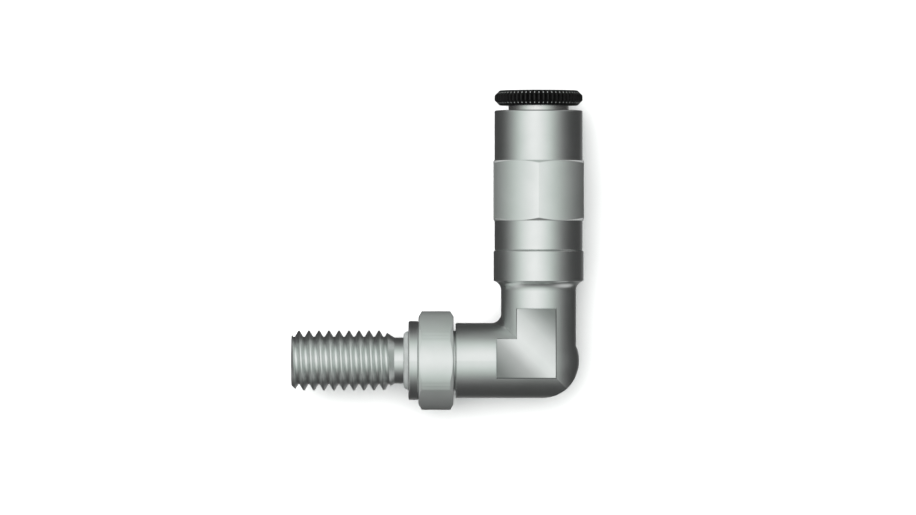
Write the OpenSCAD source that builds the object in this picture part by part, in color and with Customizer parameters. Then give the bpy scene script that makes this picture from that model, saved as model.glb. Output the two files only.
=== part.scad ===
// Adjustable 90 degree lubricant adapter: a forged elbow with an M6 stud and lock nut,
// and a straight push-in connector for a 4 mm tube screwed into its other leg.
// The origin is the centre of the backing ring's port side. The stud points to -X,
// the tube leaves to +Y, and both axes lie in the plane Z = 0.

/* [Elbow] */
// Diameter of both legs
leg_d = 7.5; // [7.2:0.1:8.2]
// Crossing of the axes to the end face of the stud leg
leg_len = 8.3; // [7.6:0.1:10]
// Distance of the round corner's centre past the crossing
corner_shift = 0.31; // [0.1:0.01:0.8]
// Fillet in the inner corner and under the collar
fillet_r = 1; // [0.6:0.1:1.4]
// Rounding of the inner corner across the legs
inner_blend_r = 1.8; // [1.2:0.1:2.8]
// Crossing of the axes to the underside of the collar
collar_y = 8; // [7.5:0.1:10]
// Diameter of the collar
collar_d = 9; // [8.8:0.1:10]
// Height of the collar
collar_h = 3; // [2.5:0.1:4]
// Distance across the two L-shaped flats
flats_across = 8; // [7.9:0.1:8.6]
// Width of each arm of the L
flat_w = 4; // [3:0.1:4.4]
// Shift of the L's arms towards the inner corner
flat_shift = 0.25; // [0:0.05:0.4]
// Length of the L's arm along the stud, from the crossing
flat_stud_reach = 4.25; // [3.6:0.05:5.5]
// Length of the L's arm along the tube, from the crossing
flat_tube_reach = 5.25; // [4:0.05:6]
// Depth of the tube side's passage past the stud's bore
passage_over = 0.2; // [0.1:0.05:0.4]
// Free depth of the screwed port past the spigot
port_clear = 0.4; // [0.2:0.05:0.8]

/* [Stud] */
// Diameter of the stud's thread
stud_d = 6; // [5.8:0.05:6.2]
// Thread between the leg and the undercut, which carries the lock nut
nut_thread_len = 3.5; // [3.2:0.05:3.6]
// Diameter of the undercut
undercut_d = 4.6; // [4.3:0.05:4.8]
// Reach of the undercut past the backing ring
undercut_reach = 1.4; // [1.3:0.05:2]
// Height and length of the small step at the end of the undercut
undercut_step = [0.13, 0.2]; // [0.05:0.01:0.3]
// Length of the cone that leads out of the undercut
runout_len = 0.9; // [0.6:0.05:1.4]
// Length of the full thread
thread_len = 8.7; // [6:0.1:14]
// Chamfer at the tip and at the start of the nut's thread
tip_chamfer = 0.5; // [0.3:0.05:0.7]
// Bore through the stud
stud_bore_d = 2; // [1.6:0.1:2.4]
// Countersink at the bore's mouth
tip_sink = 0.3; // [0.1:0.05:0.5]

/* [Lock nut and its seal] */
// Width across flats of the lock nut
nut_af = 9; // [8.5:0.1:10]
// Height of the lock nut
nut_h = 3.5; // [3:0.1:4]
// Diameter to which the nut's corners are turned
nut_turned_d = 9.86; // [9.4:0.02:10.1]
// Axial depth of the nut's chamfers
nut_chamfer = 0.32; // [0.2:0.02:0.5]
// Chamfer at both ends of the nut's thread
nut_bore_chamfer = 0.2; // [0.1:0.05:0.4]
// Free gap between the nut and the leg
nut_gap = 0.2; // [0.15:0.05:0.6]
// Diameter of the backing ring
backing_d = 7.9; // [7.4:0.1:8.5]
// Thickness of the backing ring
backing_t = 1; // [0.8:0.1:1.5]
// Radius of the stud seal's round nose, which stands out of the backing ring
seal_nose_r = 0.5; // [0.4:0.02:0.55]
// Step from the backing ring's bore to the round nose
nose_step = 0.1; // [0.05:0.01:0.15]

/* [Connector body] */
// Height of the round part under the hexagon
lower_h = 3; // [2.5:0.1:4]
// Height of the hexagon
hex_h = 6; // [5:0.1:8]
// Height of the round part above the hexagon
upper_h = 5; // [4.6:0.1:7]
// Diameter of the round parts
body_d = 8.8; // [8.5:0.1:9.6]
// Width across flats of the hexagon
hex_af = 9; // [8.9:0.1:10]
// Slope of the hexagon's chamfers against its end faces, in degrees
hex_chamfer_angle = 20; // [15:1:30]
// Distance inside the flats at which the hexagon's chamfers start
hex_face_step = 0.03; // [0.01:0.01:0.08]
// Diameter of the screwed spigot
spigot_d = 6; // [5.8:0.05:6.2]
// Length of the screwed spigot
spigot_len = 5; // [4:0.1:5.4]
// Passage through the spigot
passage_d = 2.5; // [2:0.1:2.8]
// Diameter of the spigot's seal groove
groove_d = 4.7; // [4.4:0.05:4.8]
// Thickness of the seal under the body's shoulder
body_seal_t = 0.7; // [0.5:0.05:0.8]

/* [Tube socket] */
// Outside diameter of the tube
tube_d = 4; // [3.8:0.05:4.2]
// Depth of the socket from the mouth to the tube's stop
socket_depth = 12; // [11.5:0.1:13]
// Length of the close guide above the stop
guide_len = 3; // [2:0.1:3.4]
// Diameter of the tube seal's groove
gland_d = 5.6; // [5.4:0.05:5.8]
// Thickness of the spacer ring
spacer_t = 1; // [0.8:0.05:1.2]
// Diameter of the chamber around the collet's heads
chamber_d = 7.2; // [6.9:0.05:7.4]
// Length of the clamping cone
cone_len = 1.6; // [1.3:0.1:1.8]
// Length of the mouth bore outside the cone
mouth_len = 3.2; // [3:0.1:3.5]

/* [Collet and release ring] */
// Outside diameter of the collet's neck
neck_d = 6; // [5.8:0.05:6.2]
// Gap between the mouth and the release ring, which is the travel
release_gap = 0.5; // [0.4:0.05:0.6]
// Number of slots
slot_count = 4; // [2:2:6]
// Width of each slot
slot_w = 0.7; // [0.4:0.05:0.9]
// Depth inside the body's mouth at which the slots end
slot_inset = 1; // [0.6:0.1:1.5]
// Chamfer on the collet's heads
head_chamfer = 0.3; // [0.2:0.05:0.4]
// Flat in front of the first tooth
tooth_start = 0.15; // [0.1:0.01:0.25]
// Number of gripping teeth
tooth_count = 3; // [2:1:3]
// Depth of the gripping teeth
tooth_depth = 0.22; // [0.12:0.02:0.26]
// Pitch of the gripping teeth
tooth_pitch = 0.42; // [0.3:0.02:0.46]
// Wall of the flexible fingers
finger_wall = 0.55; // [0.4:0.05:0.7]
// Lengths of the slopes behind the teeth and at the end of the fingers
finger_slopes = [0.3, 0.4]; // [0.2:0.05:0.5]
// Radial and axial size of the slope at the tube's entry
entry_slope = [0.35, 0.5]; // [0.2:0.05:0.6]
// Depth of the release ring's seat in the collet's neck
ring_seat_step = 0.28; // [0.2:0.02:0.32]
// Thickness of the lip that holds the release ring
lip_t = 0.25; // [0.2:0.05:0.35]
// Depth of the lip's rim in the neck
lip_step = 0.1; // [0.06:0.01:0.14]
// Distance of the lip inside the release ring's end face
lip_inset = 0.1; // [0.05:0.01:0.2]
// Diameter of the release ring
ring_d = 8.8; // [8.4:0.1:9.6]
// Height of the release ring
ring_h = 1.5; // [1.4:0.1:2]
// Chamfer at both ends of the knurl
ring_chamfer = 0.5; // [0.3:0.05:0.6]
// Number of knurl teeth
knurl_count = 60; // [40:2:72]
// Share of the knurl's pitch that a flat crest takes
knurl_crest = 0.4; // [0.2:0.05:0.6]
// Depth of the knurl
knurl_depth = 0.2; // [0.1:0.02:0.26]

/* [Clearances] */
// Radial gap between screwed pieces, whose threads are left plain
thread_gap = 0.04; // [0.02:0.01:0.08]
// Radial gap between sliding pieces
slide_gap = 0.04; // [0.02:0.01:0.08]
// Gap around the seals
seal_gap = 0.03; // [0.01:0.01:0.05]
// Axial room beside the two hidden seals
seal_room = 0.05; // [0.03:0.01:0.1]
// Radial gap on both sides of the tube seal
tube_seal_gap = 0.02; // [0.01:0.01:0.03]
// Radial gap between the tube and its guide
tube_gap = 0.03; // [0.02:0.01:0.08]
// Radial gap between the tube and the collet
grip_gap = 0.06; // [0.04:0.01:0.1]
// Play of the collet's heads past the travel
collet_play = 0.25; // [0.2:0.05:0.4]
// Broken edge on turned pieces
edge_break = 0.1; // [0.05:0.01:0.15]

/* [Hidden] */
$fn = 96;
// How far cuts run past a face, and how deep a fillet bites into what carries it
cut = 1;
bite = 0.01;
// Slope of the cone that a drill leaves
drill_slope = tan(31);

// Stations along the stud, measured from the crossing
nut_z = leg_len + nut_gap;
backing_z = nut_z + nut_h;
seat_z = backing_z + backing_t;
nut_thread_end = leg_len + nut_thread_len;
undercut_end = seat_z + undercut_reach;
step_end = undercut_end + undercut_step[1];
thread_start = step_end + runout_len;
tip_z = thread_start + thread_len + tip_chamfer;

// Stations along the tube, measured from the crossing
collar_top = collar_y + collar_h;
hex_y = collar_top + lower_h;
hex_top = hex_y + hex_h;
mouth_y = hex_top + upper_h;
ring_y = mouth_y + release_gap;
ring_top = ring_y + ring_h;
spigot_end = collar_top - spigot_len;
port_end = spigot_end - port_clear;
stop_y = mouth_y - socket_depth;
gland_y = stop_y + guide_len;

leg_r = leg_d / 2;
collar_r = collar_d / 2;
stud_r = stud_d / 2;
undercut_r = undercut_d / 2;
body_r = body_d / 2;
spigot_r = spigot_d / 2;
port_r = spigot_r + thread_gap;
tube_r = tube_d / 2;
guide_r = tube_r + tube_gap;
neck_r = neck_d / 2;
mouth_r = neck_r + slide_gap;
chamber_r = chamber_d / 2;
grip_r = tube_r + grip_gap;

// Seals: the stud seal fills the ring's bore, the others are round in section
seal_in = undercut_r + seal_gap;
nut_bore_r = stud_r + thread_gap;
backing_bore_r = stud_r + slide_gap;
body_seal_r = body_seal_t / 2;
body_seal_ring = groove_d / 2 + seal_gap + body_seal_r;
body_seal_depth = body_seal_r + seal_room;
port_mouth_r = body_seal_ring + body_seal_depth + sqrt(2) * (body_seal_r + seal_gap);
tube_seal_in = guide_r + tube_seal_gap;
tube_seal_out = gland_d / 2 - tube_seal_gap;
tube_seal_r = (tube_seal_out - tube_seal_in) / 2;
gland_end = gland_y + 2 * (tube_seal_r + seal_room);
spacer_end = gland_end + spacer_t + seal_gap;
cone_end = mouth_y - mouth_len;
cone_y = cone_end - cone_len;

// Collet
head_r = chamber_r - slide_gap;
collet_y = spacer_end + release_gap + collet_play;
teeth_y = collet_y + tooth_start;
teeth_end = teeth_y + tooth_count * tooth_pitch;
relief_r = neck_r - finger_wall;
relief_y = max(teeth_end + finger_slopes[0], cone_y + edge_break);
slot_end = mouth_y - slot_inset;
lip_r = neck_r - lip_step;
ring_seat_r = neck_r - ring_seat_step;
lip_top = ring_top - lip_inset;
lip_y = lip_top - lip_t;

// Turns a profile drawn as radius and height about the stud's axis
module along_stud() {
    translate([seat_z, 0, 0])
        rotate([0, -90, 0])
            children();
}

// Turns a profile drawn as radius and height about the tube's axis
module along_tube() {
    translate([seat_z, 0, 0])
        rotate([-90, 0, 0])
            children();
}

// A bore from one height to another, with the drill's cone past its lower end
module drilled(r, from, to) {
    rotate_extrude()
        polygon([
            [0, from - r * drill_slope],
            [r, from],
            [r, to],
            [0, to]
        ]);
}

module hexagon(af, h) {
    rotate([0, 0, 30])
        cylinder(d = af / cos(30), h = h, $fn = 6);
}

// Leg with the round corner, and the stud with its undercut
module stud_outline() {
    intersection() {
        translate([0, -corner_shift])
            circle(r = leg_r);
        translate([0, -corner_shift - leg_r])
            square([leg_r, leg_r + corner_shift]);
    }
    translate([0, -corner_shift])
        square([leg_r, leg_len - edge_break + corner_shift]);
    polygon([
        [0, 0],
        [leg_r, 0],
        [leg_r, leg_len - edge_break],
        [leg_r - edge_break, leg_len],
        [stud_r, leg_len],
        [stud_r, nut_thread_end - (stud_r - undercut_r)],
        [undercut_r, nut_thread_end],
        [undercut_r, undercut_end],
        [undercut_r + undercut_step[0], step_end],
        [stud_r, thread_start],
        [stud_r, tip_z - tip_chamfer],
        [stud_r - tip_chamfer, tip_z],
        [0, tip_z]
    ]);
}

// Leg that carries the collar, with the fillet below it
module collar_outline() {
    difference() {
        polygon([
            [0, 0],
            [leg_r, 0],
            [leg_r, collar_y - fillet_r],
            [leg_r + fillet_r, collar_y - fillet_r],
            [leg_r + fillet_r, collar_y],
            [0, collar_y]
        ]);
        translate([leg_r + fillet_r, collar_y - fillet_r])
            circle(r = fillet_r);
        translate([collar_r, -cut])
            square([leg_r + fillet_r, collar_y + 2 * cut]);
    }
    polygon([
        [0, collar_y - fillet_r / 2],
        [leg_r, collar_y - fillet_r / 2],
        [leg_r, collar_y],
        [collar_r, collar_y],
        [collar_r, collar_top - edge_break],
        [collar_r - edge_break, collar_top],
        [0, collar_top]
    ]);
}

// Fillet between the legs, kept just inside them at its ends
module inner_corner() {
    centre = leg_r + fillet_r - bite;
    translate([seat_z - centre, centre, 0])
        rotate([0, 0, -90])
            rotate_extrude(angle = 90)
                translate([fillet_r + inner_blend_r, 0])
                    circle(r = inner_blend_r);
}

// Heel where both legs run on to their mitre, cut off upright along the round corner
module heel() {
    reach = leg_r + corner_shift;
    intersection() {
        along_stud()
            translate([0, 0, -reach])
                cylinder(r = leg_r, h = reach + cut);
        along_tube()
            translate([0, 0, -leg_r])
                cylinder(r = leg_r, h = leg_r + cut);
        translate([seat_z + corner_shift, 0, -leg_r])
            cylinder(r = leg_r - bite, h = leg_d);
    }
}

module l_flats() {
    inner = flat_w / 2 + flat_shift;
    outer = flat_w / 2 - flat_shift;
    translate([seat_z, 0, -flats_across / 2])
        linear_extrude(height = flats_across)
            polygon([
                [-flat_stud_reach, -outer],
                [outer, -outer],
                [outer, flat_tube_reach],
                [-inner, flat_tube_reach],
                [-inner, inner],
                [-flat_stud_reach, inner]
            ]);
}

module elbow_body() {
    color("silver")
        difference() {
            union() {
                along_stud()
                    rotate_extrude()
                        stud_outline();
                along_tube()
                    rotate_extrude()
                        collar_outline();
                inner_corner();
                heel();
                l_flats();
            }
            along_stud()
                drilled(stud_bore_d / 2, 0, tip_z + cut);
            along_stud()
                translate([0, 0, tip_z - tip_sink])
                    cylinder(r1 = stud_bore_d / 2, r2 = stud_bore_d / 2 + tip_sink + cut, h = tip_sink + cut);
            along_tube()
                drilled(passage_d / 2, -stud_bore_d / 2 - passage_over, collar_top);
            along_tube()
                drilled(port_r, port_end, collar_top + cut);
            along_tube()
                translate([0, 0, collar_top - port_mouth_r + port_r])
                    cylinder(r1 = port_r, r2 = port_mouth_r + cut, h = port_mouth_r - port_r + cut);
        }
}

module lock_nut() {
    rim_r = nut_turned_d / 2;
    face_r = rim_r - nut_chamfer / tan(30);
    color("silver")
        along_stud()
            translate([0, 0, nut_z])
                difference() {
                    intersection() {
                        hexagon(nut_af, nut_h);
                        rotate_extrude()
                            polygon([
                                [0, 0],
                                [face_r, 0],
                                [rim_r, nut_chamfer],
                                [rim_r, nut_h - nut_chamfer],
                                [face_r, nut_h],
                                [0, nut_h]
                            ]);
                    }
                    translate([0, 0, -cut])
                        cylinder(r = nut_bore_r, h = nut_h + 2 * cut);
                    for (end = [0, 1])
                        translate([0, 0, end * nut_h])
                            mirror([0, 0, end])
                                translate([0, 0, -cut])
                                    cylinder(
                                        r1 = nut_bore_r + nut_bore_chamfer + cut,
                                        r2 = nut_bore_r,
                                        h = nut_bore_chamfer + cut
                                    );
                }
}

module backing_ring() {
    out_r = backing_d / 2;
    color("silver")
        along_stud()
            rotate_extrude()
                polygon([
                    [backing_bore_r, backing_z],
                    [out_r - edge_break, backing_z],
                    [out_r, backing_z + edge_break],
                    [out_r, seat_z - edge_break],
                    [out_r - edge_break, seat_z],
                    [backing_bore_r, seat_z]
                ]);
}

// The seal is squeezed between the stud and the backing ring
module stud_seal() {
    nose_ring_r = backing_bore_r - nose_step - seal_nose_r;
    color("gray")
        along_stud()
            rotate_extrude()
                union() {
                    intersection() {
                        translate([nose_ring_r, seat_z])
                            circle(r = seal_nose_r);
                        translate([seal_in, seat_z])
                            square([seal_nose_r * 2, seal_nose_r * 2]);
                    }
                    translate([seal_in, backing_z + seal_gap])
                        square([
                            nose_ring_r + seal_nose_r - seal_in,
                            backing_t - seal_gap
                        ]);
                }
}

// Round outside of the connector body as radius and height
module body_outline() {
    groove_y = collar_top - 2 * (body_seal_depth + seal_room);
    polygon([
        [0, spigot_end],
        [spigot_r - tip_chamfer, spigot_end],
        [spigot_r, spigot_end + tip_chamfer],
        [spigot_r, groove_y],
        [groove_d / 2, groove_y],
        [groove_d / 2, collar_top],
        [body_r - edge_break, collar_top],
        [body_r, collar_top + edge_break],
        [body_r, mouth_y - edge_break],
        [body_r - edge_break, mouth_y],
        [0, mouth_y]
    ]);
}

// Hexagon whose corners are chamfered from just inside the flats
module wrench_hexagon() {
    corner_r = hex_af / 2 / cos(30) + cut;
    face_r = hex_af / 2 - hex_face_step;
    drop = (corner_r - face_r) * tan(hex_chamfer_angle);
    translate([0, 0, hex_y])
        intersection() {
            hexagon(hex_af, hex_h);
            rotate_extrude()
                polygon([
                    [0, 0],
                    [face_r, 0],
                    [corner_r, drop],
                    [corner_r, hex_h - drop],
                    [face_r, hex_h],
                    [0, hex_h]
                ]);
        }
}

// Stepped hollow for the tube, its seal, the spacer and the collet
module socket_outline() {
    polygon([
        [0, spigot_end - cut],
        [passage_d / 2, spigot_end - cut],
        [passage_d / 2, stop_y],
        [guide_r, stop_y],
        [guide_r, gland_y],
        [gland_d / 2, gland_y],
        [gland_d / 2, gland_end],
        [mouth_r, gland_end],
        [mouth_r, spacer_end],
        [chamber_r, spacer_end],
        [chamber_r, cone_y],
        [mouth_r, cone_end],
        [mouth_r, mouth_y - edge_break],
        [mouth_r + edge_break + cut, mouth_y + cut],
        [0, mouth_y + cut]
    ]);
}

module connector_body() {
    color("silver")
        along_tube()
            difference() {
                union() {
                    rotate_extrude()
                        body_outline();
                    wrench_hexagon();
                }
                rotate_extrude()
                    socket_outline();
            }
}

module body_seal() {
    color("dimgray")
        along_tube()
            translate([0, 0, collar_top - body_seal_depth])
                rotate_extrude()
                    translate([body_seal_ring, 0])
                        circle(r = body_seal_r);
}

module tube_seal() {
    color("dimgray")
        along_tube()
            translate([0, 0, gland_y + tube_seal_r + seal_gap])
                rotate_extrude()
                    translate([(tube_seal_in + tube_seal_out) / 2, 0])
                        circle(r = tube_seal_r);
}

module spacer_ring() {
    color("goldenrod")
        along_tube()
            translate([0, 0, gland_end])
                difference() {
                    cylinder(r = neck_r, h = spacer_t);
                    translate([0, 0, -cut])
                        cylinder(r = grip_r, h = spacer_t + 2 * cut);
                }
}

// Gripping teeth, each steep on its inner side
function tooth_points() = [
    for (i = [0 : tooth_count - 1])
        each [
            [grip_r + tooth_depth, teeth_y + i * tooth_pitch],
            [grip_r, teeth_y + i * tooth_pitch]
        ]
];

module collet_outline() {
    outside = [
        [grip_r + entry_slope[0], lip_top],
        [lip_r - edge_break, lip_top],
        [lip_r, lip_top - edge_break],
        [lip_r, lip_y],
        [ring_seat_r, lip_y],
        [ring_seat_r, ring_y - slide_gap],
        [neck_r, ring_y - slide_gap],
        [neck_r, cone_end],
        [head_r, cone_y],
        [head_r, collet_y + head_chamfer],
        [head_r - head_chamfer, collet_y],
        [grip_r + tooth_depth, collet_y]
    ];
    inside = [
        [grip_r + tooth_depth, teeth_end],
        [relief_r, relief_y],
        [relief_r, slot_end - finger_slopes[1]],
        [grip_r, slot_end],
        [grip_r, lip_top - entry_slope[1]]
    ];
    polygon(concat(outside, tooth_points(), inside));
}

module collet() {
    color("lightgray")
        along_tube()
            difference() {
                rotate_extrude()
                    collet_outline();
                for (i = [0 : slot_count - 1])
                    rotate([0, 0, 45 + i * 360 / slot_count])
                        translate([0, -slot_w / 2, collet_y - cut])
                            cube([chamber_r + cut, slot_w, slot_end - collet_y + cut]);
            }
}

// Knurled rim: flat crests with a V between each two
module knurl_outline(r) {
    pitch = 360 / knurl_count;
    polygon([
        for (i = [0 : knurl_count - 1])
            for (p = [[-knurl_crest / 2, 0], [knurl_crest / 2, 0], [0.5, knurl_depth]])
                (r - p[1]) * [cos((i + p[0]) * pitch), sin((i + p[0]) * pitch)]
    ]);
}

module release_ring() {
    r = ring_d / 2;
    color("black")
        along_tube()
            difference() {
                intersection() {
                    translate([0, 0, ring_y])
                        linear_extrude(height = ring_h)
                            knurl_outline(r);
                    rotate_extrude()
                        polygon([
                            [0, ring_y],
                            [r - ring_chamfer, ring_y],
                            [r + cut, ring_y + ring_chamfer + cut],
                            [r + cut, ring_top - ring_chamfer - cut],
                            [r - ring_chamfer, ring_top],
                            [0, ring_top]
                        ]);
                }
                rotate_extrude()
                    polygon([
                        [0, ring_y - cut],
                        [ring_seat_r + slide_gap, ring_y - cut],
                        [ring_seat_r + slide_gap, lip_y - slide_gap],
                        [lip_r + slide_gap, lip_y - slide_gap],
                        [lip_r + slide_gap, ring_top - edge_break],
                        [lip_r + slide_gap + edge_break + cut, ring_top + cut],
                        [0, ring_top + cut]
                    ]);
            }
}

elbow_body();
lock_nut();
backing_ring();
stud_seal();
connector_body();
body_seal();
tube_seal();
spacer_ring();
collet();
release_ring();
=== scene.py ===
"""Dresses the adjustable lubricant adapter: threads, edges, finishes, floor, light and camera."""

import math

import bmesh
import bpy
from mathutils import Matrix, Vector
from mathutils.bvhtree import BVHTree
from mathutils.interpolate import poly_3d_calc


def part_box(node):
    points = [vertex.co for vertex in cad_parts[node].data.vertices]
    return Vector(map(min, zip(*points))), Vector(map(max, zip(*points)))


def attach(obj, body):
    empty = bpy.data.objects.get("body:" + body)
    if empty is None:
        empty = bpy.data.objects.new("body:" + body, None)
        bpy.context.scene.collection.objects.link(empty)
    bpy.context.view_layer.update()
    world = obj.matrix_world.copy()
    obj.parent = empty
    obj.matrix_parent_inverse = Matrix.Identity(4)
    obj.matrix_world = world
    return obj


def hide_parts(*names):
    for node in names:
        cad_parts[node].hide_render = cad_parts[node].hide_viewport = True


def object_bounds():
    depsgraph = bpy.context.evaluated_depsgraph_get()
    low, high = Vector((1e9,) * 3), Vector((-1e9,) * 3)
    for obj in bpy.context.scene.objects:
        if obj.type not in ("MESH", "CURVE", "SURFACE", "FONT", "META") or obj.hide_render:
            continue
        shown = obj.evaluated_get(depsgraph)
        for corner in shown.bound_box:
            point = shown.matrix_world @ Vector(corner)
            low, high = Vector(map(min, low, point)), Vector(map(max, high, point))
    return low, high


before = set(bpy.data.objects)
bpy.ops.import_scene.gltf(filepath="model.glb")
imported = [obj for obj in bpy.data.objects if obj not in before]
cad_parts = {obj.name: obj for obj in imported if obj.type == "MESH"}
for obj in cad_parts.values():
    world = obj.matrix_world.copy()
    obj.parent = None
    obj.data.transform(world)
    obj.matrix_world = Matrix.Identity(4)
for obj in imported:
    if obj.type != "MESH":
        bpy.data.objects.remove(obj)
cad_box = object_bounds()

MM = 0.001
UP = Vector((0, 0, 1))
STUD_AXIS = Vector((1, 0, 0))
TUBE_AXIS = Vector((0, 1, 0))

# Places read from the frame: the tube's axis crosses the stud's at TUBE_X, and the stud ends at TIP_X
RING_LOW, RING_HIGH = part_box("release_ring")
TUBE_X = (RING_LOW.x + RING_HIGH.x) / 2
TIP_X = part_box("elbow_body")[0].x

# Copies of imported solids: merging, whole flat faces, sharp edges, and least corners of a ring-shaped face
MERGE = 0.0005 * MM
COPLANAR = math.radians(0.05)
SHARP = math.radians(20)
RING_CORNERS = 60

# Broken edges: least fold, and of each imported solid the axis, the width and the least distance from the axis
BREAK_FROM = math.radians(30)
BREAK_SEGMENTS = 2
BROKEN = {
    "lock_nut": (STUD_AXIS, 0.06 * MM, 3.5 * MM),
    "backing_ring": (STUD_AXIS, 0.03 * MM, 3.5 * MM),
    "connector_body": (TUBE_AXIS, 0.06 * MM, 3.5 * MM),
    "release_ring": (TUBE_AXIS, 0.02 * MM, 3.2 * MM),
}

# Raised L-shaped flats of the elbow; their edges lie between a level top and upright sides
PAD_TOP = 4.0 * MM
PAD_END_Y = 6.0 * MM
PAD_SKIN = 0.02 * MM
PAD_EDGE = 0.12 * MM
PAD_SEGMENTS = 3
LEVEL_Z = 0.99
UPRIGHT_Z = 0.1

# M6 x 1 thread, cut in two runs of (start, turns): one from the tip, one under the nut
PITCH = 1.0 * MM
MAJOR_R = 3.0 * MM
ROOT_R = 2.387 * MM
ROOT_FLAT = 0.167 * MM
FLANK = math.tan(math.radians(30))
CUTTER_PROUD = 0.08 * MM
STEPS_PER_TURN = 72
THREAD_RUNS = ((TIP_X - PITCH / 2, 12), (0.9 * MM, 3.4))

# Shading carried over from a solid: how near a copy lies to it, how far a corner is looked up towards
# its face's middle, and cosines of how far a shade may lean from the face
ON_SURFACE = 0.002 * MM
INWARDS = 0.005
SAME_SLOPE = math.cos(math.radians(5))
EASED_SLOPE = math.cos(math.radians(35))

# Elbow's round heel, upright leg and blend into the collar; LEG_EASE shades them wider than round
NEAR = 0.015 * MM
LEG_R = 3.75 * MM
LEG_EASE = 0.15
EASE_POWER = 6
HEEL_CENTRE = Vector((TUBE_X + 0.31 * MM, 0, 0))
HEEL_FROM_Y = -1.5 * MM
COLLAR_FROM_R = 4.45 * MM
BLEND_FROM_Y = 6.5 * MM
BLEND_SLOPE = 0.2

# Elbow's inner fillet, shaded as steep as its sides
FILLET_R = 1.0 * MM
FILLET_OFF = LEG_R + FILLET_R - 0.01 * MM
FILLET_CENTRE = Vector((TUBE_X - FILLET_OFF, FILLET_OFF, 0))
FILLET_TUBE = 1.8 * MM
FILLET_RING = FILLET_R + FILLET_TUBE
FILLET_SIDE = Vector((-1, 1, 0)).normalized()
FILLET_STEEP = 1.7

# Shading of the hexagons' flats: least radius, and (side limit, ridge, crown, lean, tilt) of each hexagon
FLAT_FROM_R = 4.45 * MM
NUT_FLATS = (9.0 * MM, 0.3 * MM, 190, 1.0, 0.07)
BODY_FLATS = (4.45 * MM, 1.0 * MM, 160, 0.9, -0.05)

# Colours, most of them in pairs from clear to clouded or from dark to light
ZINC, ZINC_FILM = (0.84, 0.86, 0.85), (0.78, 0.81, 0.795)
NICKEL, NICKEL_FILM = (0.86, 0.87, 0.85), (0.80, 0.81, 0.79)
BRASS, BRASS_FILM = (0.78, 0.60, 0.30), (0.70, 0.52, 0.24)
GREY_RUBBER = ((0.25, 0.265, 0.26), (0.31, 0.325, 0.32))
BLACK_RUBBER = (0.010, 0.018)
BLACKENED = (0.002, 0.004)
RUBBED_BLACK = (0.010, 0.010, 0.010, 1)
BARE_METAL_GLINT = (0.40, 0.425, 0.415, 1)
PALE_FLOOR = (0.88, 0.90)
WHITE = (1, 1, 1, 1)
MOTTLE_FROM, MOTTLE_TO = 0.3, 0.7

# Noise of the finishes: cycles a metre and detail, and the heights in metres that some of it makes
TURNED_CLOUD = (350, 4)
FORGED_CLOUD = (300, 4)
PLATED_FINE = (900, 1)
FORGED_GRAIN = (7000, 4)
SIDE_MARKS = (5200, 2)
FACE_MARKS = (2600, 1)
BLACK_FINE = (3000, 2)
RUBBER_MOTTLE = (1800, 4)
RUBBER_SKIN = (9000, 3)
FLOOR_CLOUD = (20, 2)
MARK_HEIGHT = 0.5e-6
FORGED_HEIGHT = 2.0e-6
BLACK_HEIGHT = 1.0e-6
RUBBER_HEIGHT = 1.5e-6

# Roughness of the finishes, how far noise spreads it, and how worn edges change it
TURNED_ROUGH = 0.30
COLLET_ROUGH = 0.25
FORGED_ROUGH = 0.31
BLACK_ROUGH = 0.33
GREY_RUBBER_ROUGH = 0.34
BLACK_RUBBER_ROUGH = 0.40
PLATED_SPREAD = 0.06
BLACK_SPREAD = 0.10
RUBBER_SPREAD = 0.15
WORN_ROUGH = -0.08

# Worn edges: radius looked over, and cosines between which an edge goes from plain to fully worn
TURNED_WEAR_R = 0.07 * MM
FORGED_WEAR_R = 0.08 * MM
WEAR_SAMPLES = 4
PLAIN_MATCH = 0.98
WORN_MATCH = 0.86

# Painted shade across the elbow's flats, darkening them from their diagonal towards the corners, and their
# crown
PAINTED_SHADE_WIDE = 12 * MM
PAINTED_SHADE_STOPS = [(0.08, 0.34), (0.32, 0.62), (0.46, 0.95), (0.54, 1.0), (0.74, 0.86), (0.92, 0.5), (1.0, 0.4)]
PAD_CROWN = -0.018 / MM

# Knurl of the release ring, and the depth of its worn spots inside each end, whose bare metal is partly wear
# and partly a painted highlight on the chamfers
KNURLS = 60
WORN_GLINT_DEPTH = 0.24 * MM
CREST = [(0.06, 1.0), (0.12, 0.0)]
GLINT_SPOT = [(0.08, 1.0), (0.28, 0.0)]
BLACK_SHINE = 0.12

# Floor
FLOOR_HALF = 2.0
FLOOR_GAP = 0.005 * MM
FLOOR_ROUGH = 0.9
FLOOR_SHINE = 0.1

# Studio: shade of the surroundings by the angle from their brightest direction, corner boxes, soft key
BRIGHTEST = Vector((-0.2, 0.2, 1.0)).normalized()
SURROUNDINGS = [
    (168, 0.26), (150, 0.06), (115, 0.055), (100, 0.07), (86, 0.11), (76, 0.18),
    (65, (0.29, 0.30, 0.295)), (54, (0.43, 0.46, 0.44)), (43, (0.62, 0.68, 0.645)),
    (32, (0.80, 0.84, 0.82)), (20, 0.93), (6, 1.10),
]
CORNER_BOXES = [(0.13, 0.0), (0.21, 0.55)]
KEY_FROM = Vector((-0.25, 0.25, 1.0))
KEY_POWER = 4.2
KEY_SPREAD = math.radians(70)

# Photograph's frame: 916 x 515 pixels of 0.1 mm, seen from straight above
VIEW_W = 91.6 * MM
VIEW_CENTRE = Vector((4.947 * MM, 10.30 * MM, 0))
LENS = 300
SENSOR = 36
CLIP_NEAR = 0.01
CLIP_FAR = 20


# Shapes
def new_object(name, data):
    made = bpy.data.objects.new(name, data)
    bpy.context.scene.collection.objects.link(made)
    return made


def set_smooth(shape):
    """Makes a bmesh smooth but for its sharp edges."""
    for face in shape.faces:
        face.smooth = True
    for edge in shape.edges:
        edge.smooth = len(edge.link_faces) == 2 and edge.calc_face_angle(0) < SHARP


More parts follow.
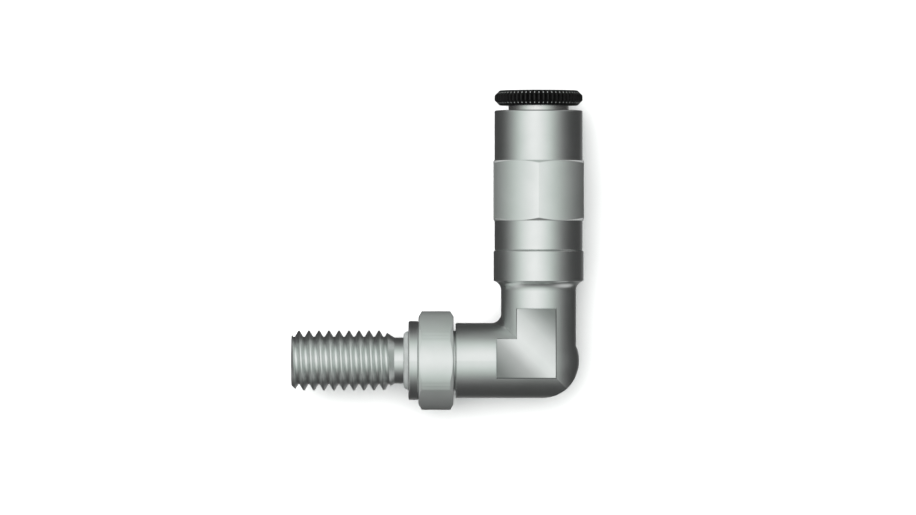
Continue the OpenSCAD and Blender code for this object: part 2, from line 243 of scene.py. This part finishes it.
def new_piece(name, shape, material):
    """Makes an object of a bmesh."""
    set_smooth(shape)
    mesh = bpy.data.meshes.new(name)
    shape.to_mesh(mesh)
    shape.free()
    custom = mesh.attributes.get("custom_normal")
    if custom:
        mesh.attributes.remove(custom)
    mesh.materials.clear()
    mesh.materials.append(material)
    return new_object(name, mesh)


def solid_copy(node):
    """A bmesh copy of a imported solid, merged, with whole flat faces."""
    shape = bmesh.new()
    shape.from_mesh(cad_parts[node].data)
    bmesh.ops.remove_doubles(shape, verts=shape.verts, dist=MERGE)
    bmesh.ops.dissolve_limit(shape, angle_limit=COPLANAR, verts=shape.verts, edges=shape.edges)
    return shape


def soften(shape, edges, width, segments):
    bmesh.ops.bevel(
        shape, geom=edges, offset=width, offset_type="OFFSET", segments=segments,
        profile=0.5, affect="EDGES", clamp_overlap=True, material=-1,
    )


def halve_rings(shape):
    """Cuts ring-shaped faces in two, because a whole ring with a slit in it is filled wrongly."""
    rings = [face for face in shape.faces if len(face.verts) > RING_CORNERS]
    edges = dict.fromkeys(edge for face in rings for edge in face.edges)
    corners = dict.fromkeys(corner for face in rings for corner in face.verts)
    bmesh.ops.bisect_plane(
        shape, geom=[*corners, *edges, *rings], dist=MERGE, plane_co=(0, 0, 0), plane_no=UP,
    )


def in_order(shape):
    """The same shape, its corners and faces numbered by place: bevels and cuts number them anew each run."""
    corners = sorted(shape.verts, key=lambda corner: corner.co[:])
    number = {corner: i for i, corner in enumerate(corners)}
    outlines = []
    for face in shape.faces:
        outline = [number[corner] for corner in face.verts]
        first = outline.index(min(outline))
        outlines.append(outline[first:] + outline[:first])
    ordered = bmesh.new()
    made = [ordered.verts.new(corner.co) for corner in corners]
    for outline in sorted(outlines):
        ordered.faces.new([made[i] for i in outline])
    shape.free()
    ordered.normal_update()
    return ordered


def outer_edges(shape, axis, least_r):
    """Folded edges that lie far enough from the stud's or the tube's axis."""
    centre = Vector((TUBE_X, 0, 0)) if axis.y else Vector()
    found = []
    for edge in shape.edges:
        out = min((v.co - centre - axis * axis.dot(v.co - centre)).length for v in edge.verts)
        if out > least_r and edge.calc_face_angle(0) > BREAK_FROM:
            found.append(edge)
    return found


def pad_edges(shape):
    """Edges round the raised flats on both sides of the elbow."""
    found = []
    for edge in shape.edges:
        if all(abs(abs(v.co.z) - PAD_TOP) < MERGE for v in edge.verts):
            slopes = sorted(abs(face.normal.z) for face in edge.link_faces)
            if len(slopes) == 2 and slopes[0] < UPRIGHT_Z and slopes[1] > LEVEL_Z:
                found.append(edge)
    return found


def thread_groove(start, turns):
    """Helical cutter of the thread, right-handed about the stud's axis."""
    groove = bmesh.new()
    root = ROOT_FLAT / 2
    rim_r = MAJOR_R + CUTTER_PROUD
    rim = root + (rim_r - ROOT_R) * FLANK
    corners = [(ROOT_R, -root), (rim_r, -rim), (rim_r, rim), (ROOT_R, root)]
    ring = [groove.verts.new((start + along, 0, radius)) for radius, along in corners]
    edges = [groove.edges.new((ring[i - 1], ring[i])) for i in range(len(ring))]
    bmesh.ops.spin(
        groove, geom=ring + edges, cent=(0, 0, 0), axis=STUD_AXIS,
        dvec=(PITCH / STEPS_PER_TURN, 0, 0), angle=math.tau * turns,
        steps=round(STEPS_PER_TURN * turns), use_duplicate=False,
    )
    ends = [edge for edge in groove.edges if len(edge.link_faces) == 1]
    bmesh.ops.holes_fill(groove, edges=ends, sides=len(corners))
    bmesh.ops.recalc_face_normals(groove, faces=groove.faces)
    return groove


def cut_away(piece, cutter):
    """Takes the cutter's shape out of a piece and keeps the result as its mesh."""
    step = piece.modifiers.new("cut", "BOOLEAN")
    step.operation = "DIFFERENCE"
    step.solver = "EXACT"
    step.object = cutter
    graph = bpy.context.evaluated_depsgraph_get()
    result = bpy.data.meshes.new_from_object(piece.evaluated_get(graph))
    piece.modifiers.clear()
    shape = bmesh.new()
    shape.from_mesh(result)
    shape = in_order(shape)
    shape.to_mesh(result)
    shape.free()
    piece.data = result
    bpy.data.objects.remove(cutter)


def resharpen(piece):
    """Merges a piece after its cuts and sets its smooth and sharp edges again."""
    shape = bmesh.new()
    shape.from_mesh(piece.data)
    bmesh.ops.remove_doubles(shape, verts=shape.verts, dist=MERGE)
    shape = in_order(shape)
    set_smooth(shape)
    shape.to_mesh(piece.data)
    shape.free()


# Shading directions
def exact_shading(node):
    """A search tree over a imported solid, with the corners and shading directions of its triangles."""
    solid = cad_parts[node].data
    solid.calc_loop_triangles()
    points = [v.co.copy() for v in solid.vertices]
    triangles = [tuple(t.vertices) for t in solid.loop_triangles]
    directions = [[solid.corner_normals[i].vector.copy() for i in t.loops] for t in solid.loop_triangles]
    return BVHTree.FromPolygons(points, triangles), points, triangles, directions


def exact_shade(solid, place, facing):
    """The solid's shading direction at a place, or None where the place isn't on a surface that faces so."""
    tree, points, triangles, directions = solid
    hits = tree.find_nearest_range(place, ON_SURFACE)
    spot, slope, found, _ = max(hits, key=lambda hit: hit[1].dot(facing), default=[None] * 4)
    if spot is None or slope.dot(facing) < SAME_SLOPE:
        return None
    shares = poly_3d_calc([points[i] for i in triangles[found]], spot)
    shade = sum((d * s for d, s in zip(directions[found], shares)), Vector())
    return shade.normalized() if shade.dot(facing) > EASED_SLOPE else None


def carry_shading(piece, node):
    """Shades a copy as the solid's surfaces where it lies on them, and eases them into its broken edges."""
    solid = exact_shading(node)
    mesh = piece.data
    shades = [Vector()] * len(mesh.loops)
    seen = {}
    for face in mesh.polygons:
        for corner in face.loop_indices:
            number = mesh.loops[corner].vertex_index
            place = mesh.vertices[number].co.lerp(face.center, INWARDS)
            shade = exact_shade(solid, place, face.normal)
            if shade is not None:
                shades[corner] = shade
                seen.setdefault(number, []).append(shade)
    for face in mesh.polygons:
        for corner in face.loop_indices:
            near = seen.get(mesh.loops[corner].vertex_index, [])
            close = [shade for shade in near if shade.dot(face.normal) > EASED_SLOPE]
            if not shades[corner].length and close:
                shades[corner] = max(close, key=face.normal.dot)
    mesh.normals_split_custom_set(shades)


def eased_round(direction):
    """A shading direction about the tube's axis, turned a little to the front or back."""
    flat = math.hypot(direction.x, direction.z)
    turn = direction.x / flat
    turn *= 1 - LEG_EASE * (1 - turn ** EASE_POWER)
    depth = math.copysign(math.sqrt(max(0, 1 - turn * turn)), direction.z)
    return Vector((turn * flat, direction.y, depth * flat))


def part_of_elbow(face):
    """Whether a face lies on the heel, the fillet, the leg with its blend, or none of them."""
    middle = face.center
    outwards = face.normal.dot(Vector((middle.x - TUBE_X, 0, middle.z)).normalized())
    off_heel = abs((middle - HEEL_CENTRE).length - LEG_R)
    if off_heel < NEAR and middle.y > HEEL_FROM_Y and outwards > EASED_SLOPE:
        return "heel"
    out = (middle - FILLET_CENTRE).xy.length - FILLET_RING
    if abs(math.hypot(out, middle.z) - FILLET_TUBE) < NEAR:
        return "fillet"
    off_axis = math.hypot(middle.x - TUBE_X, middle.z)
    if abs(off_axis - LEG_R) < NEAR and outwards > SAME_SLOPE:
        return "leg"
    in_blend = middle.y > BLEND_FROM_Y and LEG_R - NEAR < off_axis < COLLAR_FROM_R
    return "leg" if in_blend and outwards > BLEND_SLOPE else None


def shade_corner(elbow):
    """Shades the upright leg wider, the round heel as its run, and the inner fillet as steep as the sides."""
    mesh = elbow.data
    shades = [corner.vector.copy() for corner in mesh.corner_normals]
    for face in mesh.polygons:
        part = part_of_elbow(face)
        for corner in face.loop_indices:
            place = mesh.vertices[mesh.loops[corner].vertex_index].co
            if part == "heel":
                shades[corner] = eased_round(Vector((place.x - TUBE_X, 0, place.z)).normalized())
            elif part == "fillet":
                shades[corner] = (shades[corner] + FILLET_SIDE * FILLET_STEEP).normalized()
            elif part == "leg":
                shades[corner] = eased_round(shades[corner])
    mesh.normals_split_custom_set(shades)


# Pieces
def broken_edges(node, name, material, body):
    """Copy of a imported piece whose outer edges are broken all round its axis."""
    axis, width, least_r = BROKEN[node]
    shape = solid_copy(node)
    soften(shape, outer_edges(shape, axis, least_r), width, BREAK_SEGMENTS)
    halve_rings(shape)
    piece = new_piece(name, in_order(shape), material)
    carry_shading(piece, node)
    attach(piece, body)
    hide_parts(node)


def make_elbow(material):
    """Copy of the elbow with softened flats and the stud's real thread."""
    shape = solid_copy("elbow_body")
    soften(shape, pad_edges(shape), PAD_EDGE, PAD_SEGMENTS)
    halve_rings(shape)
    elbow = new_piece("elbow", in_order(shape), material)
    for start, turns in THREAD_RUNS:
        cut_away(elbow, new_piece("thread_cutter", thread_groove(start, turns), material))
    resharpen(elbow)
    carry_shading(elbow, "elbow_body")
    shade_corner(elbow)
    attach(elbow, "adapter")
    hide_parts("elbow_body")


def dress(node, material):
    """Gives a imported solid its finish."""
    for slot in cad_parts[node].material_slots:
        slot.link = "OBJECT"
        slot.material = material


# Nodes
def add(tree, kind, inputs=None, **settings):
    """Adds a node, sets its options, then its inputs: a socket is linked, a value is set."""
    made = tree.nodes.new(kind)
    for name, value in settings.items():
        setattr(made, name, value)
    for key, value in (inputs or {}).items():
        socket = made.inputs[key]
        if isinstance(value, bpy.types.NodeSocket):
            tree.links.new(value, socket)
        else:
            socket.default_value = value
    return made


def maths(tree, operation, *values):
    return add(tree, "ShaderNodeMath", dict(enumerate(values)), operation=operation).outputs[0]


def square(tree, value):
    return maths(tree, "MULTIPLY", value, value)


def dot(tree, first, second):
    made = add(tree, "ShaderNodeVectorMath", {0: first, 1: second}, operation="DOT_PRODUCT")
    return made.outputs["Value"]


def split(tree, place):
    return add(tree, "ShaderNodeSeparateXYZ", {0: place}).outputs


def ramp(tree, factor, stops):
    """A colour ramp through (place, grey or colour) stops."""
    made = add(tree, "ShaderNodeValToRGB", {"Fac": factor})
    elements = made.color_ramp.elements
    while len(elements) < len(stops):
        elements.new(0.5)
    for element, (place, shade) in zip(elements, stops):
        element.position = place
        element.color = (*shade, 1) if hasattr(shade, "__len__") else (shade, shade, shade, 1)
    return made.outputs["Color"]


def noise(tree, place, scale, detail, dimensions="3D"):
    inputs = {"Scale": scale, "Detail": detail, "W" if dimensions == "1D" else "Vector": place}
    return add(tree, "ShaderNodeTexNoise", inputs, noise_dimensions=dimensions).outputs[0]


def mottled(tree, factor, low, high):
    """Colour that a noise takes from its low to its high one."""
    return ramp(tree, factor, [(MOTTLE_FROM, low), (MOTTLE_TO, high)])


def blended(tree, share, first, second, way="MIX"):
    """Two colours mixed, multiplied or added by a share."""
    inputs = {"Factor": share, "A": first, "B": second}
    return add(tree, "ShaderNodeMix", inputs, data_type="RGBA", blend_type=way).outputs["Result"]


def relief(tree, height, normal=None):
    """Shading direction of a height in metres, over another direction where one is given."""
    inputs = {"Height": height, "Distance": 1.0, "Strength": 1.0}
    if normal is not None:
        inputs["Normal"] = normal
    return add(tree, "ShaderNodeBump", inputs).outputs[0]


def new_material(name, **shader_values):
    material = bpy.data.materials.new(name)
    material.use_nodes = True
    tree = material.node_tree
    shader = tree.nodes["Principled BSDF"]
    for key, value in shader_values.items():
        shader.inputs[key.replace("_", " ")].default_value = value
    place = add(tree, "ShaderNodeTexCoord").outputs["Object"]
    return material, tree, shader, place


def coat(tree, shader, colour, rough, normal):
    """Links what a shader shows."""
    for key, socket in (("Base Color", colour), ("Roughness", rough), ("Normal", normal)):
        tree.links.new(socket, shader.inputs[key])


# Finishes
def axis_frame(tree, place, axis):
    """Sockets for the station along an axis, the two offsets from it and their squared distance."""
    if axis == "tube":
        place = add(tree, "ShaderNodeMapping", {"Vector": place, "Location": (-TUBE_X, 0, 0)}).outputs[0]
    x, y, z = split(tree, place)
    along, side = (x, y) if axis == "stud" else (y, x)
    return along, side, z, maths(tree, "ADD", square(tree, side), square(tree, z))


def turning_marks(tree, along, squared):
    """Height of fine lathe marks, round the axis on the sides and on the end faces."""
    sides = noise(tree, along, *SIDE_MARKS, "1D")
    faces = noise(tree, maths(tree, "SQRT", squared), *FACE_MARKS, "1D")
    return maths(tree, "MULTIPLY", maths(tree, "ADD", sides, faces), MARK_HEIGHT)


def rounded_flats(tree, side, z, squared, side_limit, ridge, curve, lean, tilt):
    """Shades a hexagon's flats as lightly rounded over, and leaves round faces as they are."""
    ease = maths(tree, "SQRT", maths(tree, "MULTIPLY_ADD", z, z, ridge ** 2))
    crown = maths(tree, "MULTIPLY", square(tree, side), -curve / 2)
    tilted = maths(tree, "MULTIPLY_ADD", side, -tilt, crown)
    leaning = relief(tree, maths(tree, "MULTIPLY_ADD", ease, -lean, tilted))
    on_flats = maths(
        tree, "MULTIPLY", maths(tree, "GREATER_THAN", squared, FLAT_FROM_R ** 2),
        maths(tree, "LESS_THAN", maths(tree, "ABSOLUTE", side), side_limit),
    )
    plain = add(tree, "ShaderNodeNewGeometry").outputs["Normal"]
    inputs = {"Factor": on_flats, 4: plain, 5: leaning}
    return add(tree, "ShaderNodeMix", inputs, data_type="VECTOR").outputs[1]


def edge_wear(tree, radius):
    """1 on edges that handling has polished, 0 elsewhere."""
    rounded = add(tree, "ShaderNodeBevel", {"Radius": radius}, samples=WEAR_SAMPLES).outputs[0]
    true = add(tree, "ShaderNodeNewGeometry").outputs["Normal"]
    inputs = {
        "Value": dot(tree, rounded, true),
        "From Min": PLAIN_MATCH, "From Max": WORN_MATCH, "To Min": 0, "To Max": 1,
    }
    return add(tree, "ShaderNodeMapRange", inputs).outputs[0]


def plated_gloss(tree, place, rough, wear_radius):
    """Roughness of plating: finely uneven, and smoother on worn edges."""
    fine = noise(tree, place, *PLATED_FINE)
    spread = maths(tree, "MULTIPLY_ADD", fine, PLATED_SPREAD, rough - PLATED_SPREAD / 2)
    return maths(tree, "MULTIPLY_ADD", edge_wear(tree, wear_radius), WORN_ROUGH, spread)


def turned_metal(name, base, film, rough, axis, flats=None):
    """Turned metal with lathe marks about its axis; flats says how a hexagon's flats are shaded."""
    material, tree, shader, place = new_material(name, Metallic=1.0)
    along, side, z, squared = axis_frame(tree, place, axis)
    colour = mottled(tree, noise(tree, place, *TURNED_CLOUD), film, base)
    gloss = plated_gloss(tree, place, rough, TURNED_WEAR_R)
    leaning = rounded_flats(tree, side, z, squared, *flats) if flats else None
    coat(tree, shader, colour, gloss, relief(tree, turning_marks(tree, along, squared), leaning))
    return material


def forged_height(tree, place, across, on_pad):
    """Height of the forging's skin: a crown across the flats, grain everywhere else."""
    crown = maths(tree, "MULTIPLY", square(tree, across), PAD_CROWN)
    grain = maths(tree, "MULTIPLY", noise(tree, place, *FORGED_GRAIN), FORGED_HEIGHT)
    off_pad = maths(tree, "SUBTRACT", 1.0, on_pad)
    crown_there = maths(tree, "MULTIPLY", crown, on_pad)
    return maths(tree, "ADD", crown_there, maths(tree, "MULTIPLY", grain, off_pad))


def forged_steel():
    """Plated forging: fine grain on the legs, smooth coined flats with painted shade towards their corners,
    away from the diagonal.
    """
    material, tree, shader, place = new_material("forged_plated_steel", Metallic=1.0)
    x, y, z = split(tree, place)
    on_pad = maths(
        tree, "MULTIPLY",
        maths(tree, "GREATER_THAN", maths(tree, "ABSOLUTE", z), PAD_TOP - PAD_SKIN),
        maths(tree, "LESS_THAN", y, PAD_END_Y),
    )
    across = maths(tree, "SUBTRACT", maths(tree, "ADD", x, y), TUBE_X)
    # Painted shade: the flats' colour is kept along their diagonal and darkened towards their corners.
    painted_shade = ramp(tree, maths(tree, "MULTIPLY_ADD", across, 1 / PAINTED_SHADE_WIDE, 0.5), PAINTED_SHADE_STOPS)
    film = mottled(tree, noise(tree, place, *FORGED_CLOUD), ZINC_FILM, ZINC)
    colour = blended(tree, on_pad, film, blended(tree, 1.0, film, painted_shade, "MULTIPLY"))
    gloss = plated_gloss(tree, place, FORGED_ROUGH, FORGED_WEAR_R)
    coat(tree, shader, colour, gloss, relief(tree, forged_height(tree, place, across, on_pad)))
    return material


def knurl_wear_and_glints(tree, place):
    """Shares of the knurl's crests, and of their worn spots half-way down both chamfers, which are partly wear
    and partly a painted highlight.
    """
    x, y, z = split(tree, place)
    turn = maths(tree, "ARCTAN2", z, maths(tree, "SUBTRACT", x, TUBE_X))
    tooth = maths(tree, "FRACT", maths(tree, "MULTIPLY_ADD", turn, KNURLS / math.tau, 0.5))
    crest = ramp(tree, maths(tree, "ABSOLUTE", maths(tree, "SUBTRACT", tooth, 0.5)), CREST)
    from_low = maths(tree, "SUBTRACT", y, RING_LOW.y)
    from_end = maths(tree, "MINIMUM", from_low, maths(tree, "SUBTRACT", RING_HIGH.y, y))
    off_glint = maths(tree, "ABSOLUTE", maths(tree, "SUBTRACT", from_end, WORN_GLINT_DEPTH))
    spot = ramp(tree, maths(tree, "MULTIPLY", off_glint, 1 / WORN_GLINT_DEPTH), GLINT_SPOT)
    return crest, maths(tree, "MULTIPLY", crest, spot)


def black_ring():
    """Blackened ring whose knurl crests are worn, with bare metal half-way down both chamfers that is partly
    wear and partly a painted highlight.
    """
    material, tree, shader, place = new_material("black_knurled", Specular_IOR_Level=BLACK_SHINE)
    crest, wear_and_glint = knurl_wear_and_glints(tree, place)
    fine = noise(tree, place, *BLACK_FINE)
    rubbed = blended(tree, crest, mottled(tree, fine, *BLACKENED), RUBBED_BLACK)
    # Bare metal on the crest spots: partly wear, partly a painted highlight.
    colour = blended(tree, wear_and_glint, rubbed, BARE_METAL_GLINT)
    gloss = maths(tree, "MULTIPLY_ADD", fine, BLACK_SPREAD, BLACK_ROUGH)
    coat(tree, shader, colour, gloss, relief(tree, maths(tree, "MULTIPLY", fine, BLACK_HEIGHT)))
    return material


def elastomer(name, dark, light, rough):
    """Mottled satin rubber with a fine skin."""
    material, tree, shader, place = new_material(name, Metallic=0.0)
    skin = noise(tree, place, *RUBBER_SKIN)
    colour = mottled(tree, noise(tree, place, *RUBBER_MOTTLE), dark, light)
    gloss = maths(tree, "MULTIPLY_ADD", skin, RUBBER_SPREAD, rough)
    coat(tree, shader, colour, gloss, relief(tree, maths(tree, "MULTIPLY", skin, RUBBER_HEIGHT)))
    return material


# Studio
def make_floor():
    """Pale floor under the lowest corner, and left out of the metal's reflections."""
    level = Matrix.Translation((0, 0, cad_box[0].z - FLOOR_GAP))
    shape = bmesh.new()
    bmesh.ops.create_grid(shape, x_segments=1, y_segments=1, size=FLOOR_HALF, matrix=level)
    material, tree, shader, place = new_material(
        "pale_floor", Roughness=FLOOR_ROUGH, Specular_IOR_Level=FLOOR_SHINE,
    )
    colour = mottled(tree, noise(tree, place, *FLOOR_CLOUD), *PALE_FLOOR)
    tree.links.new(colour, shader.inputs["Base Color"])
    floor = new_piece("floor", shape, material)
    floor.visible_glossy = False


def overhead(tree, direction):
    """Shade of the surroundings by the angle from their brightest direction."""
    match = dot(tree, direction, tuple(BRIGHTEST))
    stops = [((math.cos(math.radians(angle)) + 1) / 2, shade) for angle, shade in SURROUNDINGS]
    return ramp(tree, maths(tree, "MULTIPLY_ADD", match, 0.5, 0.5), stops)


def corner_boxes(tree, direction):
    x, y, _ = split(tree, direction)
    return ramp(tree, maths(tree, "MULTIPLY", square(tree, x), square(tree, y)), CORNER_BOXES)


def make_surroundings():
    """Soft studio: bright overhead, a little to the upper left, with a tall soft box in each corner."""
    world = bpy.data.worlds.new("studio")
    bpy.context.scene.world = world
    world.use_nodes = True
    tree = world.node_tree
    tree.nodes.clear()
    direction = add(tree, "ShaderNodeTexCoord").outputs["Generated"]
    light = blended(tree, 1.0, overhead(tree, direction), corner_boxes(tree, direction), "ADD")
    seen = add(tree, "ShaderNodeLightPath").outputs["Is Camera Ray"]
    lit = add(tree, "ShaderNodeBackground", {"Color": light, "Strength": 1.0}).outputs[0]
    pale = add(tree, "ShaderNodeBackground", {"Color": WHITE, "Strength": 1.0}).outputs[0]
    both = add(tree, "ShaderNodeMixShader", {0: seen, 1: lit, 2: pale}).outputs[0]
    add(tree, "ShaderNodeOutputWorld", {"Surface": both})


def make_soft_key():
    """Wide soft light for the floor and the dull pieces."""
    lamp = bpy.data.lights.new("soft_key", "SUN")
    lamp.energy = KEY_POWER
    lamp.angle = KEY_SPREAD
    key = new_object("soft_key", lamp)
    key.rotation_euler = KEY_FROM.to_track_quat("Z", "Y").to_euler()
    key.visible_glossy = False


def make_camera():
    lens = bpy.data.cameras.new("camera")
    lens.lens = LENS
    lens.sensor_width = SENSOR
    lens.clip_start = CLIP_NEAR
    lens.clip_end = CLIP_FAR
    camera = new_object("camera", lens)
    camera.location = VIEW_CENTRE + UP * (VIEW_W * LENS / SENSOR)
    bpy.context.scene.camera = camera


def set_colour_view():
    view = bpy.context.scene.view_settings
    view.view_transform = "Standard"
    view.look = "None"


make_elbow(forged_steel())
plated_nut = turned_metal("plated_nut", ZINC, ZINC_FILM, TURNED_ROUGH, "stud", NUT_FLATS)
plated_ring = turned_metal("plated_ring", ZINC, ZINC_FILM, TURNED_ROUGH, "stud")
plated_body = turned_metal("plated_body", ZINC, ZINC_FILM, TURNED_ROUGH, "tube", BODY_FLATS)
broken_edges("lock_nut", "nut", plated_nut, "nut")
broken_edges("backing_ring", "seal_backing", plated_ring, "seal_carrier")
broken_edges("connector_body", "connector", plated_body, "adapter")
broken_edges("release_ring", "knurled_ring", black_ring(), "release")
dress("collet", turned_metal("nickel_plated_brass", NICKEL, NICKEL_FILM, COLLET_ROUGH, "tube"))
dress("spacer_ring", turned_metal("plain_brass", BRASS, BRASS_FILM, TURNED_ROUGH, "tube"))
dress("stud_seal", elastomer("grey_elastomer", *GREY_RUBBER, GREY_RUBBER_ROUGH))
black = elastomer("black_elastomer", *BLACK_RUBBER, BLACK_RUBBER_ROUGH)
dress("body_seal", black)
dress("tube_seal", black)
make_floor()
make_surroundings()
make_soft_key()
make_camera()
set_colour_view()
